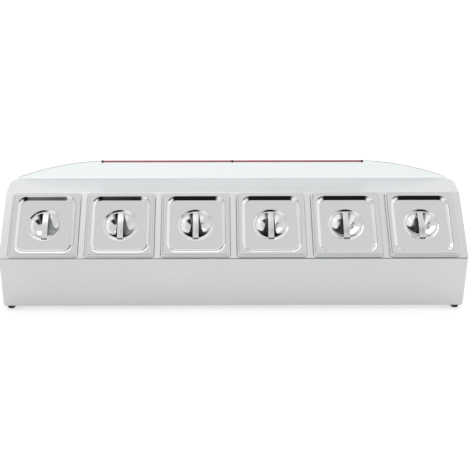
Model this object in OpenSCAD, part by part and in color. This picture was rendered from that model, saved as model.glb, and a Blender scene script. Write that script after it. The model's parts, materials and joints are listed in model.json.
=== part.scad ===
// Bar garnish tray: a folded stainless casing whose sloped deck holds a row of
// lidded gastronorm pans, with a low clear guard standing behind the flat top.
// Millimetres. The origin lies on the counter, at the middle of the footprint.
// +X runs along the casing, the deck slopes down towards -Y, and +Z is up.

/* [Pans] */
// Number of pans side by side
pan_count = 6; // [3:1:8]
// Width of a pan's rim, along the casing
rim_w = 162; // [135:1:200]
// Length of a pan's rim, up the slope
rim_l = 176; // [146:1:212]
// Outer corner radius of the rim
rim_corner_r = 12; // [10:0.5:16]
// Width of the flat rim outside the mouth
flange_w = 12; // [11:0.5:15]
// Corner radius of the mouth
mouth_corner_r = 24; // [20:0.5:30]
// Depth of a pan from the rim's top to its floor
pan_depth = 100; // [65:1:120]
// Sheet thickness of a pan
pan_t = 0.8; // [0.6:0.1:1.2]
// Height of the rim's turned-down edge above the deck
rim_h = 4.4; // [3.4:0.2:5.4]
// How far the stacking shoulder steps in
shoulder_in = 2; // [1:0.5:3]

/* [Lids] */
// Sheet thickness of a lid
lid_t = 0.8; // [0.6:0.1:1.2]
// Depth of the lid's pressed recess
recess_depth = 5.2; // [3.6:0.2:8]
// Width of the recess's sloping wall
recess_run = 12; // [9:0.5:14]
// Outer diameter of the sunken ring round the finger dish
ring_d = 85; // [80:1:90]
// Width of the ring's sloping wall
ring_run = 5.4; // [4:0.2:7]
// Depth of the sunken ring
ring_depth = 2; // [1:0.1:3]
// Diameter of the finger dish
dish_d = 69; // [56:1:69]
// Depth of the finger dish
dish_depth = 14; // [10:0.5:16]

/* [Strap handles] */
// Width of the strap that bridges the dish
strap_w = 13.5; // [10:0.5:18]
// Thickness of the strap
strap_t = 1.2; // [0.8:0.1:2]
// Rise of the strap's middle above its welded ends
strap_rise = 3; // [1:0.5:6]

/* [Casing] */
// Height of the front panel, from the casing's underside to the fold
front_h = 127.5; // [106:0.5:155]
// Tilt of the deck from level
slope_deg = 32; // [26:0.5:39]
// Depth of the flat top behind the slope
top_depth = 85; // [70:1:104]
// Margin between a rim and the folds above and below it
rim_margin = 2.4; // [2:0.2:12]
// Gap between neighbouring rims
rim_gap = 15; // [12:0.5:24]
// Margin between the outer rims and the casing's ends
end_margin = 19; // [15:0.5:40]
// Sheet thickness of the casing
sheet_t = 1; // [0.8:0.1:1.5]
// Radius of the two rear corners
corner_r = 28; // [22:1:34]
// Radius of the two front corners
front_corner_r = 4; // [3:0.5:6]
// Width of the return flanges under the casing
return_w = 30; // [28:1:36]
// Clearance between a pan's wall and its cut-out, each side
hole_clear = 1.5; // [1:0.1:3]

/* [Feet] */
// Height of a foot
foot_h = 11; // [8:0.5:20]
// Diameter of a foot where it meets the casing
foot_top_d = 20; // [18:0.5:24]
// Diameter of a foot on the counter
foot_tip_d = 15; // [13:0.5:18]
// Distance from the casing's faces to the middle of a foot
foot_inset = 16; // [14:0.5:18]

/* [Guard] */
// Height of the clear guard above the casing's top
guard_h = 43; // [30:1:60]
// Thickness of the guard
guard_t = 3; // [3:0.5:6]
// Length of the guard's straight top edge
guard_top_w = 636; // [520:1:680]
// Distance from the casing's ends to the guard's ends
guard_inset = 14; // [10:1:30]
// How far the guard laps down over the rear panel
guard_lap = 22; // [18:1:40]
// Length of the spacers between guard and rear panel
spacer_l = 3; // [2:0.5:6]

/* [Hidden] */
// Gaps that keep parts which rest on each other separate solids
seat_gap = 0.1;
lap_gap = 0.05;
seam_gap = 0.4;

// Bends: the pan's rim and mouth, and the casing's folds
rim_bend_r = 2.5;
mouth_bend_r = 3;
fold_r = 2.5;
bend_steps = 4;

// The pan below its mouth
pan_floor_r = 12;
pan_floor_inset = 18;
shoulder_drop = 12;

// The lid inside its recess
hub_margin = 2;
land_w = 1.3;
lid_edge_end = 42;
press_steps = 5;
strap_steps = 14;
strap_clear = 0.3;
strap_foot = 2.2;

// Flanges and returns of the casing's sheets
deck_flange = 13;
top_return = 9;
side_return = 16;
rear_return = 14;
lap_w = 24;
tray_gap = 2.5;
tray_rim = 12;

// Hat-section stiffeners
hat_flange = 8;
front_hat = [32, 10];
front_hat_z = 42;
top_hat = [46, 12];
top_hat_setback = 16;
rib_hat = [24, 14];
stiffener_margin = 40;
corner_strap_w = 24;

// Dome-headed screws behind the casing
screw_d = 4;
screw_clear = 0.25;
head_d = 8.5;
head_h = 2.6;
screw_tail = 3;
low_screw_z = 8;
edge_screw_in = 12;
guard_screw_drop = 9;
spacer_d = 10;

// Foot screws and their nuts
foot_head_d = 8;
foot_head_h = 2.5;
foot_bore_d = 9;
foot_bore_h = 5;
foot_edge_r = 1;
nut_d = 8;
nut_h = 3.2;

// Edge trim and clips on the guard
trim_clear = 0.1;
trim_t = 0.8;
trim_h = 3.6;
clip_t = 1.2;
clip_h = 4.8;
clip_l = 4.6;
guard_corner_r = 8;
shoulder_power = 1.8;
shoulder_steps = 24;

round_fn = 96;
small_fn = 48;

// What follows from the pans
mouth_w = rim_w - 2 * flange_w;
mouth_l = rim_l - 2 * flange_w;
hole_grow = pan_t + hole_clear;
pan_pitch = rim_w + rim_gap;
flange_z = seat_gap + rim_h;
lid_z = flange_z + seat_gap;
recess_z = lid_z + lid_t - recess_depth;

// The casing follows the pans. Its depth is cut to a tenth of a millimetre.
function to_tenth(x) = floor(10 * x) / 10;
slope_len = rim_l + 2 * rim_margin;
fold_y = slope_len * cos(slope_deg);
body_w = pan_count * rim_w + (pan_count - 1) * rim_gap + 2 * end_margin;
body_d = to_tenth(fold_y) + top_depth;
body_h = front_h + slope_len * sin(slope_deg);
rear_y = body_d + lap_gap + sheet_t;
guard_y = rear_y + spacer_l;
total_d = guard_y + guard_t + head_h;
rear_half_w = body_w / 2 - max(corner_r, return_w) - 1;
guard_half_w = body_w / 2 - guard_inset;
guard_screw_x = [for (k = [-3, -1, 1, 3]) k * to_tenth(guard_top_w / 8)];
foot_places = [[-1, -1], [1, -1], [-1, 1], [1, 1]];

pan_numbers = [for (i = [1:pan_count]) i];
rib_numbers = [for (i = [1:pan_count - 1]) i];
foot_names = ["foot_front_left", "foot_front_right", "foot_rear_left", "foot_rear_right"];

steel = [0.82, 0.83, 0.84];
bright_steel = [0.76, 0.77, 0.78];
inner_steel = [0.62, 0.63, 0.65];
black = [0.08, 0.08, 0.09];
clear_blue = [0.86, 0.91, 0.94, 0.5];
rose = [0.62, 0.32, 0.38];
nylon = [0.93, 0.93, 0.92];

// Geometry helpers

// Points along an arc about c, from angle a to angle b
function arc(c, r, a, b, n) =
    [for (k = [0:n]) let (u = a + (b - a) * k / n) [c.x + r * cos(u), c.y + r * sin(u)]];

// A pressed step in sheet of thickness t, as upper and lower outline. It starts at p, runs
// inwards and down, and is made of two equal arcs that share a tangent.
function pressed_step(p, run, drop, t) =
    let (tilt = 2 * atan(drop / run), r = run / (2 * sin(tilt)),
         high = [p.x, p.y - r], low = [p.x - run, p.y - drop + r])
    [concat(arc(high, r, 90, 90 + tilt, press_steps), arc(low, r, tilt - 90, -90, press_steps)),
     concat(arc(high, r - t, 90, 90 + tilt, press_steps), arc(low, r + t, tilt - 90, -90, press_steps))];

// A list back to front
function turned(list) = [for (k = [len(list) - 1:-1:0]) list[k]];

// Angle at which a straight line from p touches the circle of radius r about c
function touch_angle(p, c, r) = atan2(p.y - c.y, p.x - c.x) - acos(r / norm(p - c));

// A point of the slope in the casing's y and z: v up the slope, n out of the deck
function slope_point(v, n) =
    [v * cos(slope_deg) - n * sin(slope_deg), front_h + v * sin(slope_deg) + n * cos(slope_deg)];

// A flat rounded rectangle with true round corners
module rounded_rect(w, l, r) {
    square([w - 2 * r, l], center = true);
    square([w, l - 2 * r], center = true);
    for (sx = [-1, 1], sy = [-1, 1])
        translate([sx * (w / 2 - r), sy * (l / 2 - r)]) circle(r, $fn = round_fn);
}

// Carries a flat profile round a rounded rectangle. The profile's x = 0 runs along
// the outline, +x points outwards and y points up.
module swept(w, l, r) {
    for (i = [0:3]) {
        side = i % 2 == 0 ? [w, l] : [l, w];
        rotate([0, 0, 90 * i]) {
            translate([side.x / 2, 0, 0]) rotate([90, 0, 0])
                linear_extrude(side.y - 2 * r, center = true) children();
            translate([side.x / 2 - r, side.y / 2 - r, 0])
                rotate_extrude(angle = 90, $fn = round_fn) translate([r, 0]) children();
        }
    }
}

// A flat plate between two rounded rectangles
module frame_plate(outer, outer_r, inner, inner_r, t) {
    linear_extrude(t) difference() {
        rounded_rect(outer.x, outer.y, outer_r);
        rounded_rect(inner.x, inner.y, inner_r);
    }
}

// Extrudes a profile drawn in y and z along the casing
module along_x(length) {
    rotate([90, 0, 90]) linear_extrude(length, center = true) children();
}

// A hat section's outline: its flanges lie on y = 0 and its crown is h away
module hat_profile(size, t) {
    w = size.x / 2;
    h = size.y;
    crown = w - hat_flange;
    polygon([[-w, 0], [-w, t], [-crown - t, t], [-crown - t, h], [crown + t, h], [crown + t, t], [w, t],
        [w, 0], [crown, 0], [crown, h - t], [-crown, h - t], [-crown, 0]]);
}

// Casing frame: front face at y = 0, underside at z = 0
module casing_frame() {
    translate([0, -total_d / 2, foot_h]) children();
}

// Slope frame inside the casing's: y up the slope from the front fold, z out of the deck
module slope_frame() {
    translate([0, 0, front_h]) rotate([slope_deg, 0, 0]) children();
}

// Frame of one pan, at the middle of its cut-out
module pan_frame(i) {
    casing_frame() slope_frame()
        translate([(i - (pan_count + 1) / 2) * pan_pitch, slope_len / 2, 0]) children();
}

// Everything above the underside of the sloped sheet, for cutting what lies below it
module above_slope() {
    slope_frame() translate([-body_w, -slope_len, -sheet_t - lap_gap])
        cube([2 * body_w, 4 * slope_len, 4 * slope_len]);
}

// Cylinders along y at the casing's screw positions
module drill_y(places, d, y0, y1) {
    for (p = places)
        translate([p.x, y0, p.y]) rotate([-90, 0, 0]) cylinder(d = d, h = y1 - y0, $fn = small_fn);
}

edge_screw_x = body_w / 2 - corner_r - edge_screw_in;
edge_screw_z = [24, body_h / 2, body_h - deck_flange - edge_screw_in];
edge_places = [for (sx = [-1, 1], z = edge_screw_z) [sx * edge_screw_x, z]];
low_places = [for (k = [-1:1]) [k * body_w / 4, low_screw_z]];
guard_places = [for (x = guard_screw_x) [x, body_h - guard_screw_drop]];

// Pans: drawn sheet with a turned-down rim, stacking shoulder and rounded floor

// The rim's turned-down edge, measured from the rim's outline
module rim_edge_profile() {
    c = [-rim_bend_r, flange_z - rim_bend_r];
    polygon(concat(
        [[0, seat_gap]],
        arc(c, rim_bend_r, 0, 90, bend_steps),
        arc(c, rim_bend_r - pan_t, 90, 0, bend_steps),
        [[-pan_t, seat_gap]]));
}

// The wall from the mouth's bend to the floor's, measured from the mouth's outline
module pan_wall_profile() {
    top_c = [mouth_bend_r, flange_z - mouth_bend_r];
    floor_c = [-pan_floor_inset, flange_z - pan_depth + pan_floor_r];
    floor_outer_r = pan_floor_r + pan_t;
    shoulder_z = flange_z - shoulder_drop;
    lag = pan_t * tan(45 / 2);
    inner_p = [-shoulder_in, shoulder_z - shoulder_in];
    outer_p = [pan_t - shoulder_in, shoulder_z - shoulder_in - lag];
    polygon(concat(
        arc(top_c, mouth_bend_r, 90, 180, bend_steps),
        [[0, shoulder_z], inner_p],
        arc(floor_c, pan_floor_r, touch_angle(inner_p, floor_c, pan_floor_r), -90, bend_steps + 2),
        arc(floor_c, floor_outer_r, -90, touch_angle(outer_p, floor_c, floor_outer_r), bend_steps + 2),
        [outer_p, [pan_t, shoulder_z - lag]],
        arc(top_c, mouth_bend_r - pan_t, 180, 90, bend_steps)));
}

module pan(i) {
    inner_grow = 2 * mouth_bend_r;
    color(bright_steel) pan_frame(i) {
        swept(rim_w, rim_l, rim_corner_r) rim_edge_profile();
        translate([0, 0, flange_z - pan_t])
            frame_plate([rim_w - 2 * rim_bend_r, rim_l - 2 * rim_bend_r], rim_corner_r - rim_bend_r,
                [mouth_w + inner_grow, mouth_l + inner_grow], mouth_corner_r + mouth_bend_r, pan_t);
        swept(mouth_w, mouth_l, mouth_corner_r) pan_wall_profile();
        translate([0, 0, flange_z - pan_depth - pan_t]) linear_extrude(pan_t)
            rounded_rect(mouth_w - 2 * pan_floor_inset, mouth_l - 2 * pan_floor_inset,
                mouth_corner_r - pan_floor_inset);
    }
}

// Lids: pressed sheet with a recess, a sunken ring and a spherical finger dish

// The lid's edge nests over the rim's bend and ends part of the way round it
module lid_edge_profile() {
    c = [-rim_bend_r, flange_z - rim_bend_r];
    inner_r = rim_bend_r + seat_gap;
    polygon(concat(
        arc(c, inner_r + lid_t, 90, lid_edge_end, bend_steps),
        arc(c, inner_r, lid_edge_end, 90, bend_steps)));
}

// The recess's wall, measured from the outline of the pan's mouth
module recess_profile() {
    step = pressed_step([mouth_bend_r, lid_z + lid_t], recess_run, recess_depth, lid_t);
    polygon(concat(step[0], turned(step[1])));
}

recess_inset = recess_run - mouth_bend_r;
hub_r = ring_d / 2 + hub_margin;
land_z = recess_z - ring_depth;
land_outer_r = ring_d / 2 - ring_run;
land_mid_r = land_outer_r - land_w;
dish_r = dish_d / 2;
dish_sphere_r = (dish_r * dish_r + dish_depth * dish_depth) / (2 * dish_depth);
dish_centre_z = land_z - dish_depth + dish_sphere_r;

// The floor round the ring, the ring's wall and the outer part of the land inside it
module ring_profile() {
    step = pressed_step([ring_d / 2, recess_z], ring_run, ring_depth, lid_t);
    polygon(concat([[hub_r, recess_z]], step[0], [[land_mid_r, land_z], [land_mid_r, land_z - lid_t]],
        turned(step[1]), [[hub_r, recess_z - lid_t]]));
}

// The land's inner part and the dish, a true spherical shell
module dish() {
    difference() {
        union() {
            translate([0, 0, land_z - lid_t]) cylinder(r = land_mid_r, h = lid_t, $fn = round_fn);
            intersection() {
                translate([0, 0, dish_centre_z]) sphere(dish_sphere_r + lid_t, $fn = round_fn);
                translate([0, 0, land_z - 2 * dish_depth])
                    cylinder(r = land_mid_r, h = 2 * dish_depth, $fn = round_fn);
            }
        }
        translate([0, 0, dish_centre_z]) sphere(dish_sphere_r, $fn = round_fn);
    }
}

module lid(i) {
    grow = 2 * mouth_bend_r;
    color(bright_steel) pan_frame(i) {
        swept(rim_w, rim_l, rim_corner_r) lid_edge_profile();
        translate([0, 0, lid_z])
            frame_plate([rim_w - 2 * rim_bend_r, rim_l - 2 * rim_bend_r], rim_corner_r - rim_bend_r,
                [mouth_w + grow, mouth_l + grow], mouth_corner_r + mouth_bend_r, lid_t);
        swept(mouth_w, mouth_l, mouth_corner_r) recess_profile();
        translate([0, 0, recess_z - lid_t]) linear_extrude(lid_t) difference() {
            rounded_rect(mouth_w - 2 * recess_inset, mouth_l - 2 * recess_inset,
                mouth_corner_r - recess_inset);
            circle(hub_r, $fn = round_fn);
        }
        rotate_extrude($fn = round_fn) ring_profile();
        dish();
    }
}

// A flat strap, arched over the dish and welded down on the land inside the ring
module lid_handle(i) {
    half_l = sqrt(pow(land_outer_r, 2) - pow(strap_w / 2, 2)) - strap_clear;
    span = half_l - strap_foot;
    arch = [for (k = [-strap_steps:strap_steps]) let (u = k / strap_steps)
        [span * u, land_z + strap_rise * (1 + cos(180 * u)) / 2]];
    last = len(arch) - 1;
    lower = concat([[-half_l, land_z]], arch, [[half_l, land_z]]);
    color(steel) pan_frame(i)
        along_x(strap_w)
            polygon(concat(lower, [for (k = [last + 2:-1:0]) lower[k] + [0, strap_t]]));
}

// Casing: folded sheets

// The front panel's fold lines, from the return under the casing to the one under the deck
module front_profile() {
    top_turn = 90 + slope_deg;
    corner_z = front_h - (sheet_t + lap_gap) / cos(slope_deg);
    low_c = [fold_r, fold_r];
    top_c = [fold_r, corner_z - fold_r * tan((90 - slope_deg) / 2)];
    outer_n = -sheet_t - lap_gap;
    polygon(concat(
        [[return_w, 0]],
        arc(low_c, fold_r, 270, 180, bend_steps),
        arc(top_c, fold_r, 180, top_turn, bend_steps),
        [slope_point(top_return, outer_n), slope_point(top_return, outer_n - sheet_t)],
        arc(top_c, fold_r - sheet_t, top_turn, 180, bend_steps),
        arc(low_c, fold_r - sheet_t, 180, 270, bend_steps),
        [[return_w, sheet_t]]));
}

module front_panel() {
    column_h = body_h - fold_r;
    color(steel) casing_frame() difference() {
        union() {
            along_x(body_w - 2 * front_corner_r) front_profile();
            for (side = [0, 1]) difference() {
                mirror([side, 0, 0]) translate([body_w / 2 - front_corner_r, front_corner_r, fold_r]) {
                    rotate([0, 0, -90]) rotate_extrude(angle = 90, $fn = round_fn)
                        translate([front_corner_r - sheet_t, 0]) square([sheet_t, column_h]);
                    translate([front_corner_r - sheet_t, 0, 0])
                        cube([sheet_t, side_return - front_corner_r, column_h]);
                }
                above_slope();
            }
        }
        foot_holes();
    }
}

// The deck's outer fold line runs up the slope and over the flat top
module deck_profile(with_rear_flange) {
    top_c = [fold_y + fold_r * tan(slope_deg / 2), body_h - fold_r];
    rear_c = [body_d - fold_r, body_h - fold_r];
    turn = 90 + slope_deg;
    front_edge = lap_gap + seam_gap;
    polygon(concat(
        [slope_point(front_edge, 0)],
        arc(top_c, fold_r, turn, 90, bend_steps),
        with_rear_flange
            ? concat(arc(rear_c, fold_r, 90, 0, bend_steps),
                [[body_d, body_h - deck_flange], [body_d - sheet_t, body_h - deck_flange]],
                arc(rear_c, fold_r - sheet_t, 0, 90, bend_steps))
            : [[body_d, body_h], [body_d, body_h - sheet_t]],
        arc(top_c, fold_r - sheet_t, 90, turn, bend_steps),
        [slope_point(front_edge, -sheet_t)]));
}

// Flanges that the deck turns down inside the end panels
module deck_side_flanges() {
    overlap = sheet_t / 2;
    flange_x = body_w / 2 - 2 * sheet_t - lap_gap;
    back_y = fold_y + fold_r + 2;
    for (side = [0, 1]) mirror([side, 0, 0]) {
        slope_frame() translate([flange_x, top_return + 4, -deck_flange])
            cube([sheet_t, slope_len - top_return - 12, deck_flange - overlap]);
        translate([flange_x, back_y, body_h - deck_flange])
            cube([sheet_t, body_d - corner_r - back_y, deck_flange - overlap]);
    }
}

module deck_plate() {
    color(steel) casing_frame() difference() {
        union() {
            along_x(body_w - 2 * corner_r) deck_profile(true);
            for (side = [-1, 1])
                translate([side * (body_w - corner_r) / 2, 0, 0]) along_x(corner_r) deck_profile(false);
            deck_side_flanges();
        }
        for (i = pan_numbers) slope_frame()
            translate([(i - (pan_count + 1) / 2) * pan_pitch, slope_len / 2, -fold_r])
                linear_extrude(2 * fold_r)
                    rounded_rect(mouth_w + 2 * hole_grow, mouth_l + 2 * hole_grow,
                        mouth_corner_r + hole_grow);
        for (side = [0, 1]) mirror([side, 0, 0])
            translate([body_w / 2 - corner_r, body_d - corner_r, body_h - fold_r])
                linear_extrude(2 * fold_r) difference() {
                    square(corner_r + 1);
                    circle(corner_r, $fn = round_fn);
                }
        drill_y(guard_places, screw_d + 2 * screw_clear, body_d - 2 * fold_r, body_d + fold_r);
    }
}

// One end: side, rounded rear corner, flange behind the rear panel and return underneath.
// It is drawn about the centre of its rear corner.
module end_panel(side) {
    side_len = body_d - corner_r - side_return - seam_gap;
    panel_h = body_h - sheet_t - lap_gap;
    flange_h = body_h - deck_flange - 1;
    lap_z = fold_r + seam_gap;
    mid_r = corner_r - sheet_t / 2;
    return_len = body_d - corner_r - return_w - seam_gap;
    color(steel) casing_frame() difference() {
        mirror([side < 0 ? 1 : 0, 0, 0])
            translate([body_w / 2 - corner_r, body_d - corner_r, 0]) {
                rotate_extrude(angle = 90, $fn = round_fn)
                    translate([corner_r - sheet_t, 0]) square([sheet_t, panel_h]);
                translate([corner_r - sheet_t, -side_len, 0]) cube([sheet_t, side_len, panel_h]);
                translate([-lap_w, corner_r - sheet_t, lap_z]) cube([lap_w, sheet_t, flange_h - lap_z]);
                linear_extrude(sheet_t) {
                    translate([corner_r - return_w, -return_len])
                        square([return_w - sheet_t / 2, return_len]);
                    intersection() {
                        circle(mid_r, $fn = round_fn);
                        translate([corner_r - return_w, 0]) square([return_w, corner_r]);
                    }
                }
            }
        above_slope();
        foot_holes();
        drill_y(edge_places, screw_d + 2 * screw_clear, body_d - fold_r, body_d + fold_r);
    }
}

// The flat rear panel, screwed on from behind, with a short return under the casing
module rear_panel() {
    low_c = [rear_y - fold_r, fold_r];
    top_z = body_h - fold_r - 1;
    hole_d = screw_d + 2 * screw_clear;
    color(steel) casing_frame() difference() {
        along_x(2 * rear_half_w) polygon(concat(
            [[rear_y, top_z], [rear_y - sheet_t, top_z]],
            arc(low_c, fold_r - sheet_t, 360, 270, bend_steps),
            [[body_d - rear_return, sheet_t], [body_d - rear_return, 0]],
            arc(low_c, fold_r, 270, 360, bend_steps)));
        drill_y(concat(edge_places, low_places, guard_places), hole_d, rear_y - fold_r, rear_y + 1);
    }
}

// A shallow tray that closes the bottom and catches drips
module base_tray() {
    w = body_w - 2 * tray_gap;
    l = body_d - 2 * tray_gap;
    r = corner_r - tray_gap;
    bend_c = [-fold_r, fold_r];
    color(inner_steel) casing_frame() difference() {
        translate([0, body_d / 2, sheet_t + lap_gap]) {
            swept(w, l, r) polygon(concat(
                [[-sheet_t, tray_rim], [0, tray_rim]],
                arc(bend_c, fold_r, 0, -90, bend_steps),
                arc(bend_c, fold_r - sheet_t, -90, 0, bend_steps)));
            linear_extrude(sheet_t) rounded_rect(w - 2 * fold_r, l - 2 * fold_r, r - fold_r);
        }
        foot_holes();
        drill_y(low_places, screw_d + 2 * screw_clear, body_d - tray_gap - fold_r, body_d);
    }
}

module front_stiffener() {
    color(inner_steel) casing_frame()
        translate([0, sheet_t + lap_gap, front_hat_z + front_hat.x / 2])
            along_x(body_w - 2 * stiffener_margin) rotate(-90) hat_profile(front_hat, sheet_t);
}

module top_stiffener() {
    color(inner_steel) casing_frame()
        translate([0, to_tenth(fold_y) + top_hat_setback + top_hat.x / 2, body_h - sheet_t - lap_gap])
            along_x(body_w - 2 * stiffener_margin) rotate(180) hat_profile(top_hat, sheet_t);
}

// A plate behind each front corner, joining the front panel's side return to the end panel
module corner_strap(side) {
    z0 = tray_rim + 2 * sheet_t + 2;
    z1 = front_h - deck_flange - 4;
    x = body_w / 2 - 2 * sheet_t - lap_gap;
    color(inner_steel) casing_frame() mirror([side < 0 ? 1 : 0, 0, 0])
        translate([x, side_return - corner_strap_w / 2, z0]) cube([sheet_t, corner_strap_w, z1 - z0]);
}

// A hat section under the web between two cut-outs
module web_rib(i) {
    v0 = top_return + 3;
    rib_l = slope_len - v0 - 6;
    color(inner_steel) casing_frame() slope_frame()
        translate([(i - pan_count / 2) * pan_pitch, v0 + rib_l, -sheet_t - lap_gap])
            rotate([90, 0, 0]) linear_extrude(rib_l) rotate(180) hat_profile(rib_hat, sheet_t);
}

// Feet and fasteners

module at_feet() {
    for (p = foot_places) at_foot(p) children();
}

// Places things at one foot's middle, on the casing's underside
module at_foot(p) {
    translate([p.x * (body_w / 2 - foot_inset), body_d / 2 + p.y * (body_d / 2 - foot_inset), 0])
        children();
}

module foot_holes() {
    at_feet() translate([0, 0, -1])
        cylinder(d = screw_d + 2 * screw_clear, h = 2 * sheet_t + 3, $fn = small_fn);
}

module foot(p) {
    top_r = foot_top_d / 2;
    tip_r = foot_tip_d / 2;
    hole_r = screw_d / 2 + screw_clear;
    tip_c = [tip_r - foot_edge_r, foot_edge_r];
    color(black) casing_frame() at_foot(p) translate([0, 0, -foot_h])
        rotate_extrude($fn = small_fn) polygon(concat(
            [[foot_bore_d / 2, 0]],
            arc(tip_c, foot_edge_r, -90, 0, bend_steps),
            [[top_r, foot_h - 2], [top_r, foot_h], [hole_r, foot_h], [hole_r, foot_bore_h],
             [foot_bore_d / 2, foot_bore_h]]));
}

// Screws that come up through the feet, with their heads up in the feet's bores
module foot_screws() {
    shank_l = foot_h - foot_bore_h + 2 * sheet_t + lap_gap + nut_h + 1;
    color(steel) casing_frame() at_feet()
        translate([0, 0, foot_bore_h - foot_h]) {
            cylinder(d = screw_d, h = shank_l, $fn = small_fn);
            translate([0, 0, -foot_head_h]) cylinder(d = foot_head_d, h = foot_head_h, $fn = small_fn);
        }
}

module foot_nuts() {
    color(steel) casing_frame() at_feet()
        translate([0, 0, 2 * sheet_t + lap_gap]) difference() {
            cylinder(d = nut_d, h = nut_h, $fn = 6);
            translate([0, 0, -1]) cylinder(d = screw_d + 2 * seat_gap, h = nut_h + 2, $fn = small_fn);
        }
}

// A dome-headed screw along -y, its head's flat face at y = 0
module dome_screw(shank_l) {
    dome_r = (pow(head_d / 2, 2) + pow(head_h, 2)) / (2 * head_h);
    rotate([90, 0, 0]) {
        cylinder(d = screw_d, h = shank_l, $fn = small_fn);
        rotate([180, 0, 0]) rotate_extrude($fn = small_fn) polygon(concat(
            [[0, 0]],
            arc([0, head_h - dome_r], dome_r, 90 - asin(head_d / 2 / dome_r), 90, bend_steps)));
    }
}

module panel_screws() {
    color(steel) casing_frame() for (p = concat(edge_places, low_places))
        translate([p.x, rear_y, p.y]) dome_screw(sheet_t + lap_gap + tray_gap + screw_tail);
}

// Clear guard behind the top

// Its ends fall away in long shoulders, flat at the top and steeper towards the casing's ends
module guard_outline() {
    reach = guard_half_w - guard_top_w / 2;
    right = concat(
        arc([guard_half_w - guard_corner_r, guard_corner_r - guard_lap], guard_corner_r, -90, 0, bend_steps),
        [for (k = [shoulder_steps:-1:0]) let (u = k / shoulder_steps)
            [guard_top_w / 2 + reach * u, guard_h * (1 - pow(u, shoulder_power))]]);
    last = len(right) - 1;
    polygon(concat(right, [for (k = [last:-1:0]) [-right[k].x, right[k].y]]));
}

module guard_panel() {
    color(clear_blue) casing_frame() difference() {
        translate([0, guard_y + guard_t, body_h]) rotate([90, 0, 0]) linear_extrude(guard_t) guard_outline();
        drill_y(guard_places, screw_d + 2 * screw_clear, guard_y - 1, guard_y + guard_t + 1);
    }
}

// A channel that hugs the guard's top edge
module edge_channel(x0, x1, t, h) {
    casing_frame() translate([(x0 + x1) / 2, guard_y + guard_t / 2, body_h + guard_h])
        along_x(x1 - x0) difference() {
            translate([-guard_t / 2 - trim_clear - t, trim_clear + t - h])
                square([guard_t + 2 * trim_clear + 2 * t, h]);
            translate([-guard_t / 2 - trim_clear, -h]) square([guard_t + 2 * trim_clear, h + trim_clear]);
        }
}

module guard_trim(side) {
    ends = [clip_l / 2, guard_top_w / 2 - clip_l / 2];
    color(rose) if (side < 0) edge_channel(-ends.y, -ends.x, trim_t, trim_h);
    else edge_channel(ends.x, ends.y, trim_t, trim_h);
}

module guard_clips() {
    color(black) for (k = [-1:1]) {
        x = k * guard_top_w / 2;
        edge_channel(x - clip_l / 2, x + clip_l / 2, clip_t, clip_h);
    }
}

module guard_spacers() {
    color(nylon) casing_frame() difference() {
        drill_y(guard_places, spacer_d, rear_y, rear_y + spacer_l);
        drill_y(guard_places, screw_d + 2 * screw_clear, rear_y - 1, rear_y + spacer_l + 1);
    }
}

module guard_screws() {
    color(steel) casing_frame() for (p = guard_places)
        translate([p.x, guard_y + guard_t, p.y])
            dome_screw(guard_t + spacer_l + 2 * sheet_t + lap_gap + screw_tail);
}

front_panel();
deck_plate();
rear_panel();
end_panel(-1);  // left_end_panel
end_panel(1);  // right_end_panel
base_tray();
front_stiffener();
top_stiffener();
corner_strap(-1);  // left_corner_strap
corner_strap(1);  // right_corner_strap
for (i = rib_numbers) web_rib(i);
for (i = pan_numbers) pan(i);
for (i = pan_numbers) lid(i);
for (i = pan_numbers) lid_handle(i);
for (k = [0:3]) foot(foot_places[k]);
foot_screws();
foot_nuts();
panel_screws();
guard_panel();
guard_trim(-1);  // guard_trim_left
guard_trim(1);  // guard_trim_right
guard_clips();
guard_spacers();
guard_screws();
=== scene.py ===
# %% [markdown]
# # Bar garnish tray
# A long counter tray for a bar: a folded stainless casing holds six drawn steel pans under
# pressed lids, and a low clear guard stands behind the flat top. The construction comes from
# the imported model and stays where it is. This script gives every piece its finish, and makes
# the pans, lids, straps and feet again with the smooth bends that a close look needs.

# %% Load the frame
import json
import math

import bmesh
import bpy
from mathutils import Matrix, Vector


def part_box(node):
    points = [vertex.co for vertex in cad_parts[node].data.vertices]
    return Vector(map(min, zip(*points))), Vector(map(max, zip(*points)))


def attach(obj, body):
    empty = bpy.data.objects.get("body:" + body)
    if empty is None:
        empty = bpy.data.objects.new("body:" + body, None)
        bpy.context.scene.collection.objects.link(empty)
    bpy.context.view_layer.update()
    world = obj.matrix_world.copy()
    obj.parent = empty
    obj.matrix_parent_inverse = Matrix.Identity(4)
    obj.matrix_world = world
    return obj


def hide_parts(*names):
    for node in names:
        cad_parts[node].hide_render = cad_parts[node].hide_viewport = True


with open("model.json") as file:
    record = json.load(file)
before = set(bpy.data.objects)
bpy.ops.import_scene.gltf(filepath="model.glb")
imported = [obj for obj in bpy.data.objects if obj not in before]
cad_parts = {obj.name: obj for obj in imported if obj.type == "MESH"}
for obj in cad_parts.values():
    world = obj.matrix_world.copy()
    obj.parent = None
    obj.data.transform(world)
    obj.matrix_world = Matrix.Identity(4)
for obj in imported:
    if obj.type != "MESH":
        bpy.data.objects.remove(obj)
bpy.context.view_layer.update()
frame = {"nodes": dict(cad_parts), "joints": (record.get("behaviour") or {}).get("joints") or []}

MM = 0.001
PANS = range(1, 7)
nodes = frame["nodes"]

# %% [markdown]
# Every colour is written as the hex value that a paint chart or a screen would show. Blender
# works in linear light, so one function turns a hex value into linear numbers. Materials are
# built from nodes, and one small function adds a node, sets it and links it. Patterns take
# their size from the piece's own coordinates, in millimetres, so they stay with the piece when
# it moves and need no unwrapping.


# %% Colours and nodes
def hex_colour(text, alpha=1.0):
    """An sRGB hex colour as linear red, green, blue and alpha."""
    parts = [int(text[i:i + 2], 16) / 255 for i in (1, 3, 5)]
    linear = [p / 12.92 if p <= 0.04045 else ((p + 0.055) / 1.055) ** 2.4 for p in parts]
    return (*linear, alpha)


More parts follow.
